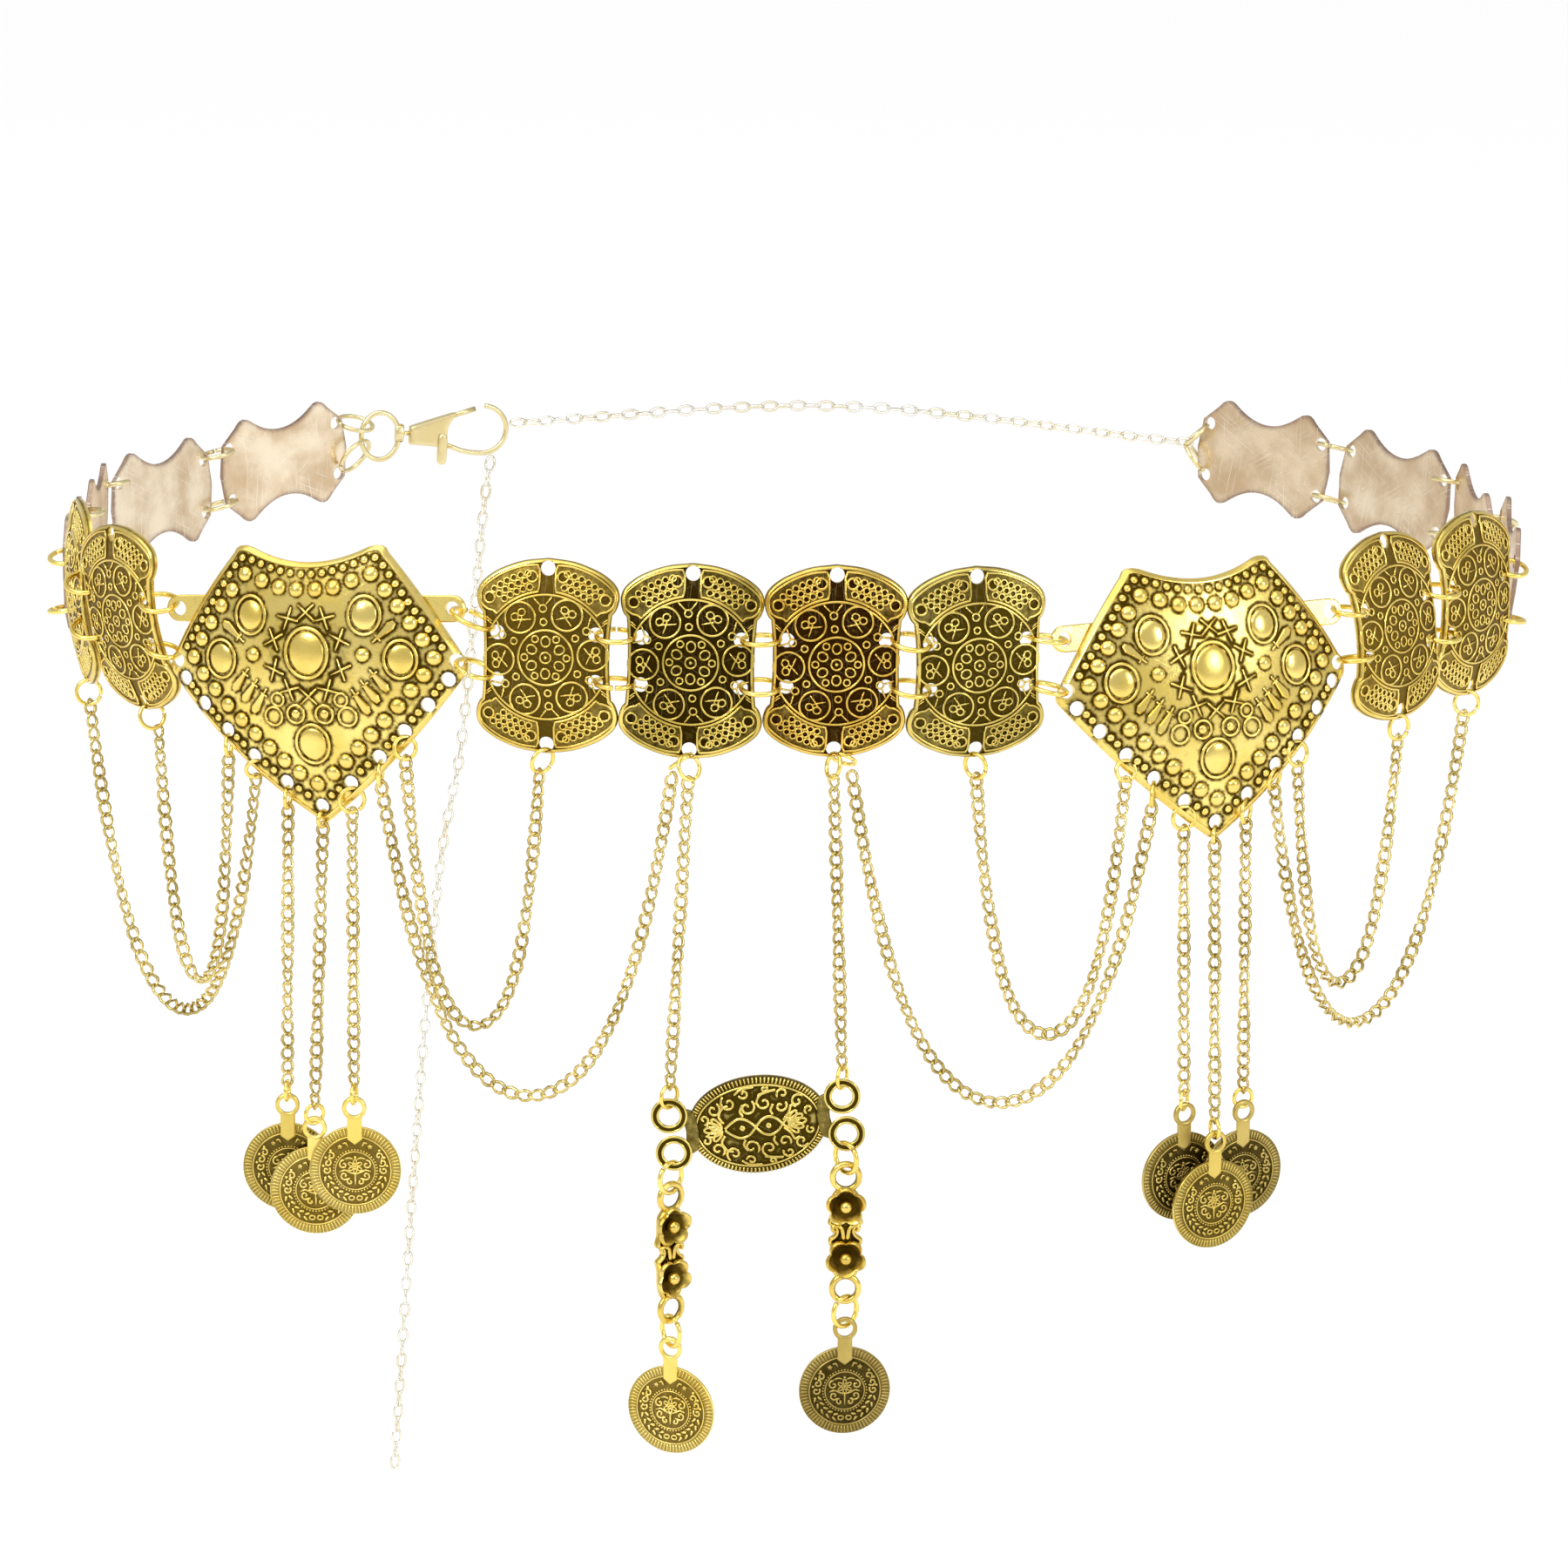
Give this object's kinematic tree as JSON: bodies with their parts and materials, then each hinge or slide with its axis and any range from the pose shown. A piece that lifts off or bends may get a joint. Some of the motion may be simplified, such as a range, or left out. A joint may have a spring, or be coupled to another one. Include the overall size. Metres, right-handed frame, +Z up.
{
  "type": "coin belt",
  "caption": "Metal hip belt of linked round and pointed relief plates, with draped chains, hanging coins, an oval centre link and a swivel clasp at the back.",
  "frame": {"origin": "middle of the wearer's hollow, level with the middle of the front plates, where the wearer's hips hold the belt (mount waist_hold)", "axes": "-Y is the front that the picture shows, +X the right of the picture, +Z up"},
  "size_m": [0.389, 0.299, 0.3449],
  "materials": {
    "plate_gold": "antique gold plating over cast metal, dark patina in the relief",
    "back_brass": "pale satin, lightly scratched",
    "chain_gold": "muted satin gold",
    "pale_chain": "pale polished gold",
    "coin_gold": "olive antique gold, dark patina in the relief"
  },
  "bodies": {
    "belt": {"round_plate_r1": "plate_gold", "round_plate_r2": "plate_gold", "round_plate_r4": "plate_gold", "round_plate_r5": "plate_gold", "pentagon_plate_r3": "plate_gold", "back_plate_r6": "back_brass", "back_plate_r7": "back_brass", "back_plate_r8": "back_brass", "back_plate_r9": "back_brass", "round_plate_l1": "plate_gold", "round_plate_l2": "plate_gold", "round_plate_l4": "plate_gold", "round_plate_l5": "plate_gold", "pentagon_plate_l3": "plate_gold", "back_plate_l6": "back_brass", "back_plate_l7": "back_brass", "back_plate_l8": "back_brass", "back_plate_l9": "back_brass", "clasp_loop": "pale_chain", "clasp_hook": "pale_chain", "oval_link": "plate_gold", "swag_front_outer_l": "chain_gold", "swag_front_inner_l": "chain_gold", "swag_side_inner_l": "chain_gold", "swag_side_outer_l": "chain_gold", "drop_l1": "chain_gold", "drop_l2": "chain_gold", "drop_l3": "chain_gold", "drop_centre_l": "chain_gold", "swag_front_outer_r": "chain_gold", "swag_front_inner_r": "chain_gold", "swag_side_inner_r": "chain_gold", "swag_side_outer_r": "chain_gold", "drop_r1": "chain_gold", "drop_r2": "chain_gold", "drop_r3": "chain_gold", "drop_centre_r": "chain_gold", "back_chain": "pale_chain", "tail_chain": "pale_chain"},
    "coin_l1_body": {"coin_l1": "coin_gold"},
    "coin_l2_body": {"coin_l2": "coin_gold"},
    "coin_l3_body": {"coin_l3": "coin_gold"},
    "coin_r1_body": {"coin_r1": "coin_gold"},
    "coin_r2_body": {"coin_r2": "coin_gold"},
    "coin_r3_body": {"coin_r3": "coin_gold"},
    "bar_l_body": {"flower_bar_l": "plate_gold"},
    "coin_centre_l_body": {"coin_centre_l": "coin_gold"},
    "bar_r_body": {"flower_bar_r": "plate_gold"},
    "coin_centre_r_body": {"coin_centre_r": "coin_gold"}
  },
  "joints": [
    {"name": "coin_l1_swing", "type": "hinge", "parent": "belt", "child": "coin_l1_body", "pos_m": [-0.1194, -0.1235, -0.11565], "axis": [0, 1, 0], "range_deg": [-10, 10]},
    {"name": "coin_l2_swing", "type": "hinge", "parent": "belt", "child": "coin_l2_body", "pos_m": [-0.1125, -0.1257, -0.12105], "axis": [0, 1, 0], "range_deg": [-10, 10]},
    {"name": "coin_l3_swing", "type": "hinge", "parent": "belt", "child": "coin_l3_body", "pos_m": [-0.1023, -0.1279, -0.11505], "axis": [0, 1, 0], "range_deg": [-10, 10]},
    {"name": "coin_r1_swing", "type": "hinge", "parent": "belt", "child": "coin_r1_body", "pos_m": [0.106, -0.1214, -0.11795], "axis": [-0.4384, 0.8988, 0], "range_deg": [-10, 10]},
    {"name": "coin_r2_swing", "type": "hinge", "parent": "belt", "child": "coin_r2_body", "pos_m": [0.1137, -0.1236, -0.12465], "axis": [-0.4384, 0.8988, 0], "range_deg": [-10, 10]},
    {"name": "coin_r3_swing", "type": "hinge", "parent": "belt", "child": "coin_r3_body", "pos_m": [0.1212, -0.117, -0.11865], "axis": [-0.4384, 0.8988, 0], "range_deg": [-10, 10]},
    {"name": "bar_l_swing", "type": "hinge", "parent": "belt", "child": "bar_l_body", "pos_m": [-0.0228, -0.141, -0.13372], "axis": [0, 1, 0], "range_deg": [-15, 15]},
    {"name": "coin_centre_l_swing", "type": "hinge", "parent": "bar_l_body", "child": "coin_centre_l_body", "pos_m": [-0.0228, -0.141, -0.1742], "axis": [0, 1, 0], "range_deg": [-20, 20]},
    {"name": "bar_r_swing", "type": "hinge", "parent": "belt", "child": "bar_r_body", "pos_m": [0.0208, -0.141, -0.12832], "axis": [0, 1, 0], "range_deg": [-15, 15]},
    {"name": "coin_centre_r_swing", "type": "hinge", "parent": "bar_r_body", "child": "coin_centre_r_body", "pos_m": [0.0208, -0.141, -0.1688], "axis": [0, 1, 0], "range_deg": [-20, 20]}
  ]
}
